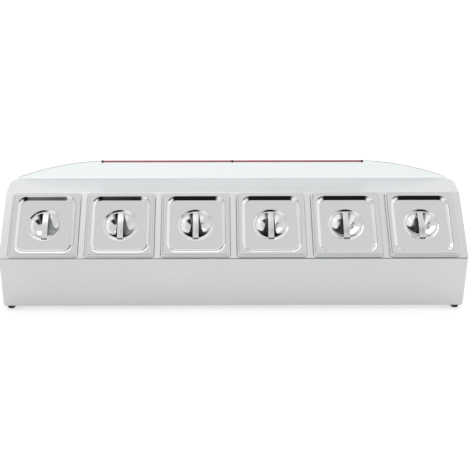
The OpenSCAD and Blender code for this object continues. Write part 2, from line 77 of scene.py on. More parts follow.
def darker(colour, share):
    """A linear colour at a share of its brightness."""
    return (*[c * share for c in colour[:3]], 1.0)


def add_node(tree, kind, links=None, sockets=None, **settings):
    """Adds a node, sets its properties and input sockets, and links outputs into its inputs."""
    made = tree.nodes.new(kind)
    for name, value in settings.items():
        setattr(made, name, value)
    for name, value in (sockets or {}).items():
        made.inputs[name].default_value = value
    for name, output in (links or {}).items():
        tree.links.new(output, made.inputs[name])
    return made


def new_material(name):
    """An empty node material and its tree."""
    material = bpy.data.materials.new(name)
    material.use_nodes = True
    material.node_tree.nodes.clear()
    return material, material.node_tree


def close_material(material, tree, shader):
    """Links a shader's output to the surface and returns the material."""
    add_node(tree, "ShaderNodeOutputMaterial", {"Surface": shader.outputs[0]})
    return material


def in_millimetres(tree, size_mm, shift=0.0):
    """Coordinates on the piece in which a pattern has the given size along X, Y and Z."""
    place = add_node(tree, "ShaderNodeTexCoord")
    scale = [1 / (s * MM) for s in size_mm]
    offset = (shift, shift * 0.7, shift * 1.3)
    return add_node(tree, "ShaderNodeMapping", {"Vector": place.outputs["Object"]},
                    {"Scale": scale, "Location": offset}).outputs[0]


NOISE_SPREAD = {"From Min": 0.3, "From Max": 0.7}  # most of a noise's values lie between these
print("#808080 is", round(hex_colour("#808080")[0], 3), "in linear light")

# %% [markdown]
# The casing is 1 mm stainless sheet with a satin finish. A belt of about 180 grit draws it, so
# it carries fine parallel scratches 0.1 to 0.2 mm apart along the sheet. To the eye they blur
# reflections and leave soft streaks along the grain. An image of brushed steel would repeat
# along so long a sheet, while noise stretched along the grain never does. Scratches that fine
# can't show at this size, so the streaks here are drawn 1.6 mm wide and 260 mm long, with a low
# contrast. A slow second noise stands for the faint clouding that wiping leaves on a bar.

# %% Satin stainless sheet
STREAK, STREAK_RUN = 1.6, 260
CLOUD_MM = (170, 120, 120)
CLOUD_GLOSS, STREAK_GLOSS = 0.07, 0.08  # how much clouds and streaks change the roughness
STREAK_DARK = 0.95


def satin_stainless(name, colour, grain_mm, roughness=0.34):
    """Belt-polished stainless sheet; grain_mm is the streak's size along X, Y and Z."""
    material, tree = new_material(name)
    streaks = add_node(tree, "ShaderNodeTexNoise", {"Vector": in_millimetres(tree, grain_mm)},
                       {"Scale": 1.0, "Detail": 4.0, "Roughness": 0.55}).outputs["Fac"]
    clouds = add_node(tree, "ShaderNodeTexNoise",
                      {"Vector": in_millimetres(tree, CLOUD_MM, shift=4.0)},
                      {"Scale": 1.0, "Detail": 2.0}).outputs["Fac"]
    cloud_gloss = add_node(tree, "ShaderNodeMapRange", {"Value": clouds},
                           NOISE_SPREAD | {"To Min": roughness - CLOUD_GLOSS,
                                           "To Max": roughness})
    gloss = add_node(tree, "ShaderNodeMath", {0: streaks, 2: cloud_gloss.outputs[0]},
                     {1: STREAK_GLOSS}, operation="MULTIPLY_ADD")
    pale = hex_colour(colour)
    tone = add_node(tree, "ShaderNodeMix", {"Factor": streaks},
                    {6: darker(pale, STREAK_DARK), 7: pale}, data_type="RGBA")
    bump = add_node(tree, "ShaderNodeBump", {"Height": streaks},
                    {"Strength": 0.1, "Distance": 0.05 * MM})
    shader = add_node(tree, "ShaderNodeBsdfPrincipled",
                      {"Base Color": tone.outputs[2], "Roughness": gloss.outputs[0],
                       "Normal": bump.outputs[0]}, {"Metallic": 1.0})
    return close_material(material, tree, shader)


casing_along = satin_stainless("satin_stainless_sheet_along", "#DBDCDD",
                               (STREAK_RUN, STREAK, STREAK))
casing_ends = satin_stainless("satin_stainless_sheet_ends", "#DBDCDD",
                              (STREAK, STREAK_RUN, STREAK))
print("satin stainless: streaks", STREAK, "by", STREAK_RUN, "mm")

# %% [markdown]
# The sheet inside the casing is left as it came from the mill: duller and a little darker, with
# the rolling marks wider and fainter. The strap handles are cut from strip with a finer satin.
# Both are the same steel, so the same function makes them with other numbers.

# %% Mill sheet and strip
inner_sheet = satin_stainless("mill_stainless_sheet", "#C6C8CA", (STREAK_RUN, 4, 4), 0.42)
strap_steel = satin_stainless("satin_stainless_strap", "#D4D5D6", (0.9, 40, 40), 0.26)
print("satin stainless:", inner_sheet.name, strap_steel.name)

# %% [markdown]
# Pans and lids are deep-drawn stainless sheet, buffed bright. Buffing leaves a mirror that is a
# little milky, and the press leaves slow waves of a few hundredths of a millimetre, which bend
# the reflections in the flat parts. Without them the steel would look like mirror glass. The
# waves are 24 mm long here, as on a real lid, and fine buffing marks run up and down the slope.
# The fasteners are turned from the same steel, with a duller surface and closer marks.

# %% Buffed drawn stainless
WAVE_MM, MARK_MM = 24, (1.2, 60, 60)


def buffed_stainless(name, colour, roughness, wave_mm=WAVE_MM, wave_deep_mm=0.08):
    """Bright drawn stainless with slow press waves and faint buffing marks."""
    material, tree = new_material(name)
    waves = add_node(tree, "ShaderNodeTexNoise",
                     {"Vector": in_millimetres(tree, (wave_mm,) * 3, shift=2.0)},
                     {"Scale": 1.0, "Detail": 1.0}).outputs["Fac"]
    marks = add_node(tree, "ShaderNodeTexNoise",
                     {"Vector": in_millimetres(tree, MARK_MM, shift=7.0)},
                     {"Scale": 1.0, "Detail": 3.0}).outputs["Fac"]
    gloss = add_node(tree, "ShaderNodeMapRange", {"Value": marks},
                     NOISE_SPREAD | {"To Min": roughness * 0.8, "To Max": roughness * 1.3})
    wave_bump = add_node(tree, "ShaderNodeBump", {"Height": waves},
                         {"Strength": 0.5, "Distance": wave_deep_mm * MM})
    mark_bump = add_node(tree, "ShaderNodeBump",
                         {"Height": marks, "Normal": wave_bump.outputs[0]},
                         {"Strength": 0.08, "Distance": 0.02 * MM})
    shader = add_node(tree, "ShaderNodeBsdfPrincipled",
                      {"Roughness": gloss.outputs[0], "Normal": mark_bump.outputs[0]},
                      {"Base Color": hex_colour(colour), "Metallic": 1.0})
    return close_material(material, tree, shader)


lid_steel = buffed_stainless("buffed_stainless_lid", "#CDCECF", 0.07)
pan_steel = buffed_stainless("buffed_stainless_pan", "#D6D7D9", 0.12)
screw_steel = buffed_stainless("stainless_fasteners", "#CBCDD0", 0.2, wave_mm=3,
                               wave_deep_mm=0.02)
print("buffed stainless:", lid_steel.name, pan_steel.name, screw_steel.name)

# %% [markdown]
# The feet are moulded black rubber, the clips are black nylon, the spacers are turned from
# natural nylon, and the guard's edge wears a rose vinyl trim. None of them is a mirror: the
# mould or the tool leaves a fine matt grain, 0.3 to 0.5 mm on these, that spreads the highlight.
# Rubber is the dullest and vinyl the shiniest. Their colour varies a little over 18 mm. One
# function makes all four, because they differ in numbers and not in kind.

# %% Moulded plastics and rubber
TINT_MM, TINT_DARK = (18, 18, 18), 0.9
GRAIN_GLOSS = 0.06


def moulded(name, colour, roughness, grain_mm, relief_mm, ior):
    """A moulded plastic or rubber with the fine grain of its mould."""
    material, tree = new_material(name)
    grain = add_node(tree, "ShaderNodeTexNoise",
                     {"Vector": in_millimetres(tree, (grain_mm,) * 3)},
                     {"Scale": 1.0, "Detail": 2.0}).outputs["Fac"]
    clouds = add_node(tree, "ShaderNodeTexNoise",
                      {"Vector": in_millimetres(tree, TINT_MM, shift=3.0)},
                      {"Scale": 1.0, "Detail": 1.0}).outputs["Fac"]
    base = hex_colour(colour)
    tone = add_node(tree, "ShaderNodeMix", {"Factor": clouds},
                    {6: darker(base, TINT_DARK), 7: base}, data_type="RGBA")
    gloss = add_node(tree, "ShaderNodeMapRange", {"Value": grain},
                     NOISE_SPREAD | {"To Min": roughness - GRAIN_GLOSS,
                                     "To Max": roughness + GRAIN_GLOSS})
    bump = add_node(tree, "ShaderNodeBump", {"Height": grain},
                    {"Strength": 0.4, "Distance": relief_mm * MM})
    shader = add_node(tree, "ShaderNodeBsdfPrincipled",
                      {"Base Color": tone.outputs[2], "Roughness": gloss.outputs[0],
                       "Normal": bump.outputs[0]}, {"IOR": ior})
    return close_material(material, tree, shader)


foot_rubber = moulded("moulded_black_rubber", "#1B1B1D", 0.62, 0.4, 0.03, ior=1.52)
clip_plastic = moulded("moulded_black_nylon", "#1A1A1C", 0.4, 0.3, 0.01, ior=1.53)
spacer_nylon = moulded("turned_natural_nylon", "#E9E8E1", 0.45, 0.5, 0.01, ior=1.53)
trim_vinyl = moulded("extruded_rose_vinyl", "#BE7480", 0.35, 0.5, 0.005, ior=1.54)
print("moulded:", foot_rubber.name, clip_plastic.name, spacer_nylon.name, trim_vinyl.name)

# %% [markdown]
# The guard is 3 mm clear cast acrylic. Its faces are clear, and light that has travelled inside
# the sheet leaves at the sawn and flame-polished edge, which therefore looks pale blue and a
# little frosted. The edge could be a material of its own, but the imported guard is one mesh. Its
# faces look along Y, so the share of the surface's own normal along Y tells a face from an
# edge. Wiping leaves faint smears on the faces, 60 mm long.

# %% Clear acrylic
SMEAR_MM, SMEAR_GLOSS = (60, 20, 90), 0.03
EDGE_FROST = 0.35


def clear_acrylic(name):
    """Cast acrylic sheet with clear faces and a paler, softer edge."""
    material, tree = new_material(name)
    normal = add_node(tree, "ShaderNodeNewGeometry").outputs["True Normal"]
    split = add_node(tree, "ShaderNodeSeparateXYZ", {"Vector": normal})
    facing = add_node(tree, "ShaderNodeMath", {0: split.outputs["Y"]}, operation="ABSOLUTE")
    edge = add_node(tree, "ShaderNodeMapRange", {"Value": facing.outputs[0]},
                    {"From Min": 0.2, "From Max": 0.95, "To Min": 1.0, "To Max": 0.0})
    smears = add_node(tree, "ShaderNodeTexNoise",
                      {"Vector": in_millimetres(tree, SMEAR_MM, shift=5.0)},
                      {"Scale": 1.0, "Detail": 3.0}).outputs["Fac"]
    gloss = add_node(tree, "ShaderNodeMapRange", {"Value": smears},
                     NOISE_SPREAD | {"To Min": 0.0, "To Max": SMEAR_GLOSS})
    edge_gloss = add_node(tree, "ShaderNodeMath", {0: edge.outputs[0], 2: gloss.outputs[0]},
                          {1: EDGE_FROST}, operation="MULTIPLY_ADD")
    tint = add_node(tree, "ShaderNodeMix", {"Factor": edge.outputs[0]},
                    {6: hex_colour("#F4F9F9"), 7: hex_colour("#B9CDD4")}, data_type="RGBA")
    shader = add_node(tree, "ShaderNodeBsdfPrincipled",
                      {"Base Color": tint.outputs[2], "Roughness": edge_gloss.outputs[0]},
                      {"Transmission Weight": 1.0, "IOR": 1.49})
    return close_material(material, tree, shader)


acrylic = clear_acrylic("cast_acrylic_sheet")
print("acrylic:", acrylic.name)

# %% [markdown]
# The casing's sheets, the hidden stiffeners, the fasteners and the guard come packed as folded
# and cut pieces. Their shape is already right, so making them again would add nothing. They
# keep their mesh and only get their finish. The end panels' grain runs from front to back, so
# they have a material of their own.

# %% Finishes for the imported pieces
FINISHES = [
    (casing_along, ["front_panel", "deck_plate", "rear_panel"]),
    (casing_ends, ["left_end_panel", "right_end_panel"]),
    (inner_sheet, ["base_tray", "front_stiffener", "top_stiffener", "left_corner_strap",
                   "right_corner_strap"] + [n for n in nodes if n.startswith("web_rib_")]),
    (screw_steel, ["foot_screws", "foot_nuts", "panel_screws", "guard_screws"]),
    (trim_vinyl, ["guard_trim_left", "guard_trim_right"]),
    (clip_plastic, ["guard_clips"]),
    (spacer_nylon, ["guard_spacers"]),
    (acrylic, ["guard_panel"]),
]
for material, names in FINISHES:
    for name in names:
        slots = nodes[name].data.materials
        slots.clear()
        slots.append(material)
    print(material.name, "on", len(names), "packed pieces")

# %% [markdown]
# A pan and its lid are easiest to draw in the slope's own directions: x along the casing, y up
# the slope and z out of the deck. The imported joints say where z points, and a pan's own corners
# say where its frame lies, so nothing is measured twice.

# %% The slope's directions
RIM_TOP = 4.5
lift = Vector(next(j for j in frame["joints"] if j["name"] == "pan_1_lift")["axis"]).normalized()
along = Vector((1, 0, 0))
up_slope = lift.cross(along).normalized()


def reach(name, direction):
    """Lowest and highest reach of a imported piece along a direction, in millimetres."""
    values = [v.co.dot(direction) / MM for v in nodes[name].data.vertices]
    return min(values), max(values)


def pan_axes(number):
    """The matrix from a pan's own millimetres, from the deck up, to the row's metres."""
    name = f"pan_{number}"
    middle = [sum(reach(name, d)) / 2 for d in (along, up_slope)]
    deck = reach(name, lift)[1] - RIM_TOP
    origin = along * middle[0] + up_slope * middle[1] + lift * deck
    rotation = Matrix((along, up_slope, lift)).transposed()
    return Matrix.Translation(origin * MM) @ rotation.to_4x4() @ Matrix.Scale(MM, 4)


print("deck tilt", round(math.degrees(math.acos(lift.z)), 2), "degrees")

# %% [markdown]
# A drawn pan and a pressed lid are one sheet that follows a profile round a rounded rectangle.
# A box with bevels could come close, but a press makes a soft bend, a straight wall and a tight
# bend, and it is these that a buffed lid shows as lines. So each step of the profile becomes a
# closed ring, with as many points as every other ring, and quads join neighbouring rings.

# %% Rings
CORNER_STEPS, SIDE_STEPS = 10, 8
CORNERS = ((1, 1), (-1, 1), (-1, -1), (1, -1))


def rounded_ring(half_w, half_l, radius, z):
    """Points round a rounded rectangle, as many on each corner and side as on every other."""
    points = []
    for quarter, (side_x, side_y) in enumerate(CORNERS):
        centre = (side_x * (half_w - radius), side_y * (half_l - radius))
        for k in range(CORNER_STEPS + 1):
            a = math.radians(90 * quarter + 90 * k / CORNER_STEPS)
            points.append((centre[0] + radius * math.cos(a), centre[1] + radius * math.sin(a), z))
        turn = math.radians(90 * quarter + 90)
        last = points[-1]
        run = 2 * ((half_w if quarter % 2 == 0 else half_l) - radius)
        for k in range(1, SIDE_STEPS):
            step = run * k / SIDE_STEPS
            points.append((last[0] - math.sin(turn) * step, last[1] + math.cos(turn) * step, z))
    return points


def round_ring(radius, z):
    """Points round a circle, matched to the rounded rectangle's points."""
    count = len(CORNERS) * (CORNER_STEPS + SIDE_STEPS)
    start = 45 - 45 * CORNER_STEPS / (CORNER_STEPS + SIDE_STEPS)
    turns = [math.radians(start + 360 * k / count) for k in range(count)]
    return [(radius * math.cos(a), radius * math.sin(a), z) for a in turns]


print("points a ring", len(round_ring(1, 0)))

# %% [markdown]
# The rings give one skin of the sheet. A modifier adds the sheet's thickness on its far side,
# so that both skins stay parallel round every bend, and weighted normals keep the flats flat
# while the bends shade smoothly.

# %% Sheets
FLAT_WEIGHT = 90        # how far large faces lead the shading on sheets,
SMALL_FLAT_WEIGHT = 80  # and on small pieces


def join_rings(mesh, rings):
    """Joins each ring of points to the next with quads."""
    for outer, inner in zip(rings, rings[1:]):
        for k in range(len(outer)):
            n = (k + 1) % len(outer)
            mesh.faces.new((outer[k], outer[n], inner[n], inner[k]))


def finish_mesh(name, mesh):
    """Turns a bmesh into a smooth-shaded object."""
    bmesh.ops.recalc_face_normals(mesh, faces=mesh.faces)
    data = bpy.data.meshes.new(name)
    mesh.to_mesh(data)
    mesh.free()
    for polygon in data.polygons:
        polygon.use_smooth = True
    made = bpy.data.objects.new(name, data)
    bpy.context.scene.collection.objects.link(made)
    return made


def sheet_mesh(name, rings, centre_z, axes):
    """Joins rings into one sheet, closes its middle and puts it in place."""
    mesh = bmesh.new()
    made = [[mesh.verts.new(p) for p in ring] for ring in rings]
    join_rings(mesh, made)
    hub = mesh.verts.new((0, 0, centre_z))
    last = made[-1]
    for k in range(len(last)):
        mesh.faces.new((last[k], last[(k + 1) % len(last)], hub))
    mesh.transform(axes)
    return finish_mesh(name, mesh)


def thicken(piece, thickness_mm, outward):
    """Gives a sheet its thickness on the side away from outward, where its first face looks."""
    normal = piece.data.polygons[0].normal
    solid = piece.modifiers.new("thickness", "SOLIDIFY")
    solid.thickness = thickness_mm * MM
    solid.offset = -1 if normal.dot(outward) > 0 else 1
    solid.use_even_offset = True
    weighted = piece.modifiers.new("flat_flats", "WEIGHTED_NORMAL")
    weighted.keep_sharp = True
    weighted.weight = FLAT_WEIGHT


# %% [markdown]
# A profile is a list of points: distance outwards from an outline, and height. Bends are arcs,
# and a pressed step is two arcs with the one straight line that touches both.

# %% Profiles
PRESS_STEPS = 9


def arc(centre, radius, start, end, steps):
    """Points of a profile along an arc; angles in degrees."""
    turns = [math.radians(start + (end - start) * k / steps) for k in range(steps + 1)]
    return [(centre[0] + radius * math.cos(a), centre[1] + radius * math.sin(a)) for a in turns]


def touch_angle(point, centre, radius):
    """Angle at which a straight line from a point touches a circle."""
    dx, dy = point[0] - centre[0], point[1] - centre[1]
    return math.degrees(math.atan2(dy, dx) - math.acos(radius / math.hypot(dx, dy)))


def pressed_step(x, z, run, drop, upper_r, lower_r):
    """A step's profile from x, z inwards and down: a bend, a straight wall and a second bend."""
    both = upper_r + lower_r
    gap = math.hypot(run, both - drop)
    tilt = math.degrees(math.asin(both / gap) - math.atan2(both - drop, run))
    return (arc((x, z - upper_r), upper_r, 90, 90 + tilt, PRESS_STEPS)
            + arc((x - run, z - drop + lower_r), lower_r, tilt - 90, -90, PRESS_STEPS))


print("points a step", len(pressed_step(0, 0, 2, 1, 1, 1)))

# %% [markdown]
# The pan is a sixth-size gastronorm pan. Its rim turns down at the outside, so that it rests on
# the deck, and a small ledge near its edge stiffens it. Below the mouth is a shoulder, on which
# nested pans stop instead of jamming, and the wall then leans in to a well rounded floor.

# %% The pan's sizes
RIM_W, RIM_L, RIM_CORNER = 162.0, 176.0, 9.0
RIM_BEND = 2.8
FLANGE = 12.0       # from the rim's outline in to the mouth
PAN_DEPTH = 100.0
PAN_SHEET = 0.8
SEAT = 0.1          # gap to what a rim or a lid rests on
STEP_RUN, STEP_DROP = 1.6, 1.2
STEP_SHARP, STEP_TIGHT = 0.9, 0.3
PAN_STEP = 6.5      # from the rim's outline to the ledge's step
MOUTH_CORNER, MOUTH_BEND = 24.0, 3.0
SHOULDER_DROP, SHOULDER_IN = 12.0, 2.0
SHOULDER_EASE, SHOULDER_LIP = 0.15, 0.1
FLOOR_INSET, FLOOR_BEND = 18.0, 12.0
BEND_STEPS, FLOOR_STEPS = 8, 12
BESIDE = 1.0        # an extra ring this far from a bend holds the flat beside it


def rim_ring(offset, z):
    """A ring that follows the rim's outline."""
    return rounded_ring(RIM_W / 2 + offset, RIM_L / 2 + offset, RIM_CORNER + offset, z)


def mouth_ring(offset, z):
    """A ring that follows the outline of the pan's mouth."""
    return rounded_ring(RIM_W / 2 - FLANGE + offset, RIM_L / 2 - FLANGE + offset,
                        MOUTH_CORNER + offset, z)


def outward_step(x, z):
    """A small step that drops towards the rim's edge, from its lower end to its upper end."""
    step = pressed_step(x, z, STEP_RUN, STEP_DROP, STEP_SHARP, STEP_TIGHT)
    return [(-px, pz) for px, pz in reversed(step)]


print("pan", RIM_W, "by", RIM_L, "by", PAN_DEPTH, "mm")

# %% [markdown]
# The pan's profile runs from the rim's lower edge over the rim, down the wall and across the
# floor. The mouth's corners are rounder than the rim's, so the two outlines get rings of their
# own, and the quads between them spread the difference over the flange.


# %% Pans
def pan_rings():
    """The pan's upper surface from the rim's lower edge to the floor."""
    ledge_z = RIM_TOP - STEP_DROP
    rim = [(0, SEAT)] + arc((-RIM_BEND, ledge_z - RIM_BEND), RIM_BEND, 0, 90, BEND_STEPS)
    rim += outward_step(PAN_STEP, RIM_TOP)
    floor_z = RIM_TOP - PAN_DEPTH
    shoulder_z = RIM_TOP - SHOULDER_DROP
    below = (-SHOULDER_IN, shoulder_z - SHOULDER_IN)
    floor_centre = (-FLOOR_INSET, floor_z + FLOOR_BEND)
    wall = arc((MOUTH_BEND, RIM_TOP - MOUTH_BEND), MOUTH_BEND, 90, 180, BEND_STEPS)
    wall += [(0, shoulder_z + BESIDE), (-SHOULDER_EASE, shoulder_z),
             (SHOULDER_EASE - SHOULDER_IN, below[1] + SHOULDER_LIP),
             (below[0], below[1] - BESIDE)]
    wall += arc(floor_centre, FLOOR_BEND, touch_angle(below, floor_centre, FLOOR_BEND), -90,
                FLOOR_STEPS)
    wall += [(-FLOOR_INSET - 2 * BESIDE, floor_z)]
    return [rim_ring(*p) for p in rim] + [mouth_ring(*p) for p in wall], floor_z


for number in PANS:
    rings, floor_z = pan_rings()
    pan = sheet_mesh(f"drawn_pan_{number}", rings, floor_z, pan_axes(number))
    thicken(pan, PAN_SHEET, along)
    pan.data.materials.append(pan_steel)
    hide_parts(f"pan_{number}")
    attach(pan, f"pan_{number}")
print("pan rings", len(rings), "points a ring", len(rings[0]))

# %% [markdown]
# The lid is pressed from one sheet. Its edge turns down round the pan's rim, flares a little
# and ends just above the deck. A shallow recess with a wide sloping wall drops into the mouth,
# and in its middle a second, round step leads down to a narrow land and a finger dish. A press
# makes each step as a soft upper bend, a straight wall and a tighter lower bend, and those draw
# the fine dark and bright lines in a buffed lid. The dish is part of a sphere, with a small
# bend at its edge.

# %% The lid's sizes
LID_SHEET = 0.8
LID_TOP = RIM_TOP + SEAT + LID_SHEET
LID_EDGE, LID_SKIRT_END = SEAT + LID_SHEET, 0.9
LID_STEP = 6.0      # from the rim's outline to the ledge's step
SKIRT_TILT, SKIRT_BEND, SKIRT_BEND_Z = 52, 1.0, 1.4
SKIRT_STEPS, EDGE_STEPS = 4, 6
RECESS, RECESS_RUN = 5.2, 12.0
RECESS_SOFT, RECESS_TIGHT = 11.0, 3.0
RECESS_FLOOR = LID_TOP - RECESS
RING_R, RING_RUN, RING_DEEP = 42.5, 5.4, 2.0
RING_SOFT, RING_TIGHT, RING_EASE = 3.6, 3.0, 0.6
LAND = RECESS_FLOOR - RING_DEEP
DISH_R, DISH_DEEP, DISH_BEND = 34.5, 11.5, 1.2
DISH_STEPS = 20
DISH_SPHERE = (DISH_R ** 2 + DISH_DEEP ** 2) / (2 * DISH_DEEP)
print("dish: part of a sphere of", round(DISH_SPHERE, 1), "mm radius")


# %% Lids
def lid_outer_rings():
    """The lid's upper surface from its lower edge to the recess's floor."""
    ledge_z = LID_TOP - STEP_DROP
    flare = 90 - SKIRT_TILT
    drop = ledge_z - SKIRT_BEND - SKIRT_BEND_Z
    bend_x = LID_EDGE - SKIRT_BEND - drop * math.tan(math.radians(flare))
    edge = [(LID_EDGE, LID_SKIRT_END)]
    edge += arc((LID_EDGE - SKIRT_BEND, SKIRT_BEND_Z), SKIRT_BEND, 0, flare, SKIRT_STEPS)
    edge += arc((bend_x, ledge_z - SKIRT_BEND), SKIRT_BEND, flare, 90, EDGE_STEPS)
    edge += outward_step(LID_STEP, LID_TOP)
    wall = [(MOUTH_BEND + BESIDE, LID_TOP)]
    wall += pressed_step(MOUTH_BEND, LID_TOP, RECESS_RUN, RECESS, RECESS_SOFT, RECESS_TIGHT)
    wall += [(MOUTH_BEND - RECESS_RUN - BESIDE, RECESS_FLOOR)]
    return [rim_ring(*p) for p in edge] + [mouth_ring(*p) for p in wall]


def lid_round_rings():
    """The lid's middle: the round step, the land, the bend at the dish's edge and the dish."""
    profile = [(RING_R + 2 * BESIDE, RECESS_FLOOR), (RING_R + RING_EASE, RECESS_FLOOR)]
    profile += pressed_step(RING_R, RECESS_FLOOR, RING_RUN, RING_DEEP, RING_SOFT, RING_TIGHT)
    centre_z = LAND - DISH_DEEP + DISH_SPHERE
    reach_r = DISH_SPHERE + DISH_BEND
    bend_r = math.sqrt(reach_r ** 2 - (centre_z - LAND + DISH_BEND) ** 2)
    tilt = math.degrees(math.asin(bend_r / reach_r))
    profile += arc((bend_r, LAND - DISH_BEND), DISH_BEND, 90, 90 + tilt, EDGE_STEPS)
    profile += arc((0, centre_z), DISH_SPHERE, tilt - 90, -90, DISH_STEPS)[1:-1]
    return [round_ring(*p) for p in profile], LAND - DISH_DEEP


for number in PANS:
    middle, bottom = lid_round_rings()
    rings = lid_outer_rings() + middle
    lid = sheet_mesh(f"pressed_lid_{number}", rings, bottom, pan_axes(number))
    thicken(lid, LID_SHEET, along)
    lid.data.materials.append(lid_steel)
    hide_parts(f"lid_{number}")
    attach(lid, f"lid_{number}")
print("lid rings", len(rings))

# %% [markdown]
# The strap handle is a flat steel strip, arched a little over the dish and spot-welded to the
# land at both ends. Rolling leaves its edges rounded, and a shallow ridge along its middle
# stiffens it. A curve with a bevel would give the arch but keep the ridge up to the ends, so
# here a cross-section is carried along the bent line, and the ridge fades out near the welds.

# %% The strap's section and line
STRAP_W, STRAP_T, STRAP_RISE = 13.5, 1.2, 3.0
STRAP_CLEAR, STRAP_FOOT = 0.3, 2.2  # gap to the round step, and flat length at each weld
RIDGE_W, RIDGE_HIGH, RIDGE_STEPS = 3.0, 0.2, 8
RIDGE_FADE = 3                      # the ridge fades out over the last third
EDGE_ROUND, ROUND_STEPS = 0.45, 4
STRAP_STEPS = 36                    # along each half


def strap_section():
    """The strap's cross-section: x across, z up from its underside."""
    w = STRAP_W / 2 - EDGE_ROUND
    top = STRAP_T - EDGE_ROUND
    section = arc((w, EDGE_ROUND), EDGE_ROUND, -90, 0, ROUND_STEPS)
    section += arc((w, top), EDGE_ROUND, 0, 90, ROUND_STEPS)
    for k in range(RIDGE_STEPS + 1):
        share = k / RIDGE_STEPS
        section.append((RIDGE_W * (1 - 2 * share),
                        STRAP_T + RIDGE_HIGH * (1 - math.cos(2 * math.pi * share)) / 2))
    section += arc((-w, top), EDGE_ROUND, 90, 180, ROUND_STEPS)
    section += arc((-w, EDGE_ROUND), EDGE_ROUND, 180, 270, ROUND_STEPS)
    return section


def strap_line():
    """The strap's line as distance along the slope, height and share of the ridge."""
    half = math.sqrt((RING_R - RING_RUN) ** 2 - (STRAP_W / 2) ** 2) - STRAP_CLEAR
    span = half - STRAP_FOOT
    line = [(-half, LAND, 0.0)]
    for k in range(-STRAP_STEPS, STRAP_STEPS + 1):
        u = k / STRAP_STEPS
        line.append((span * u, LAND + STRAP_RISE * (1 + math.cos(math.pi * u)) / 2,
                     min(1.0, RIDGE_FADE * (1 - abs(u)))))
    return line + [(half, LAND, 0.0)]


print("strap section", len(strap_section()), "points, line", len(strap_line()), "points")


# %% Strap handles
def strap_mesh(name, axes):
    """Carries the section along the line and closes both ends."""
    mesh = bmesh.new()
    rows = []
    for y, z, share in strap_line():
        heights = [(x, h if h <= STRAP_T else STRAP_T + (h - STRAP_T) * share)
                   for x, h in strap_section()]
        rows.append([mesh.verts.new((x, y, z + h)) for x, h in heights])
    join_rings(mesh, rows)
    mesh.faces.new(rows[0])
    mesh.faces.new(rows[-1])
    mesh.transform(axes)
    strap = finish_mesh(name, mesh)
    strap.modifiers.new("flat_flats", "WEIGHTED_NORMAL").weight = SMALL_FLAT_WEIGHT
    return strap


for number in PANS:
    strap = strap_mesh(f"welded_strap_{number}", pan_axes(number))
    strap.data.materials.append(strap_steel)
    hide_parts(f"lid_handle_{number}")
    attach(strap, f"lid_{number}")
print("strap faces", len(strap.data.polygons))

# %% [markdown]
# Each foot is one rubber moulding with a well for its screw. Rubber is moulded with soft edges
# and a slight draft, so that it leaves the mould. A plain cylinder would show a hard black rim
# where the real foot catches a soft highlight, so the foot is a profile turned about the packed
# foot's own axis.

# %% Feet
FOOT_R, FOOT_H, FOOT_EDGE, FOOT_DRAFT = 9.9, 11.0, 1.8, 0.9
FOOT_TOP_EDGE, WELL_EDGE = 0.5, 0.4
WELL_R, WELL_H, SCREW_R = 4.5, 5.0, 2.1
FOOT_STEPS = 48


def foot_profile():
    """The foot's outline as radius and height, from its screw hole round to its well."""
    tip = FOOT_R - FOOT_DRAFT
    outline = [(SCREW_R, WELL_H), (WELL_R, WELL_H), (WELL_R, WELL_EDGE), (WELL_R + WELL_EDGE, 0)]
    outline += arc((tip - FOOT_EDGE, FOOT_EDGE), FOOT_EDGE, -90, 0, BEND_STEPS)
    outline += arc((FOOT_R - FOOT_TOP_EDGE, FOOT_H - FOOT_TOP_EDGE), FOOT_TOP_EDGE, 0, 90,
                   ROUND_STEPS)
    return outline + [(SCREW_R, FOOT_H)]


def moulded_foot(name):
    """Turns the outline about the middle of a packed foot."""
    low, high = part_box(name)
    middle = Vector(((low[0] + high[0]) / 2, (low[1] + high[1]) / 2, low[2]))
    turns = [2 * math.pi * k / FOOT_STEPS for k in range(FOOT_STEPS)]
    mesh = bmesh.new()
    rings = [[mesh.verts.new(middle + Vector((r * math.cos(a), r * math.sin(a), z)) * MM)
              for a in turns] for r, z in foot_profile()]
    join_rings(mesh, rings + rings[:1])
    foot = finish_mesh("moulded_" + name, mesh)
    foot.modifiers.new("flat_flats", "WEIGHTED_NORMAL").weight = SMALL_FLAT_WEIGHT
    return foot


for name in [n for n in nodes if n.startswith("foot_") and n not in ("foot_screws", "foot_nuts")]:
    foot = moulded_foot(name)
    foot.data.materials.append(foot_rubber)
    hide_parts(name)
    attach(foot, "casing")
    print(foot.name, len(foot.data.polygons), "faces")

# %% [markdown]
# The floor is a plain sheet of white paper, matt, so that the shadow under the casing stays
# soft. A white background would need more light than the steel can take, so the paper glows a
# little for the camera, and a little over half as much in what the metal and the clear guard
# show of it, because real ones lose light too. The tray's shadow stays.

# %% Floor
PAPER_GLOW, MIRRORED_GLOW = 0.52, 0.3
PAPER_DARK, PAPER_PALE = 0.73, 0.75
FIBRE_MM = (3, 3, 3)
FLOOR_HALF = 30.0
FLOOR_GAP = 0.5 * MM  # under the feet, so that the two never share a plane


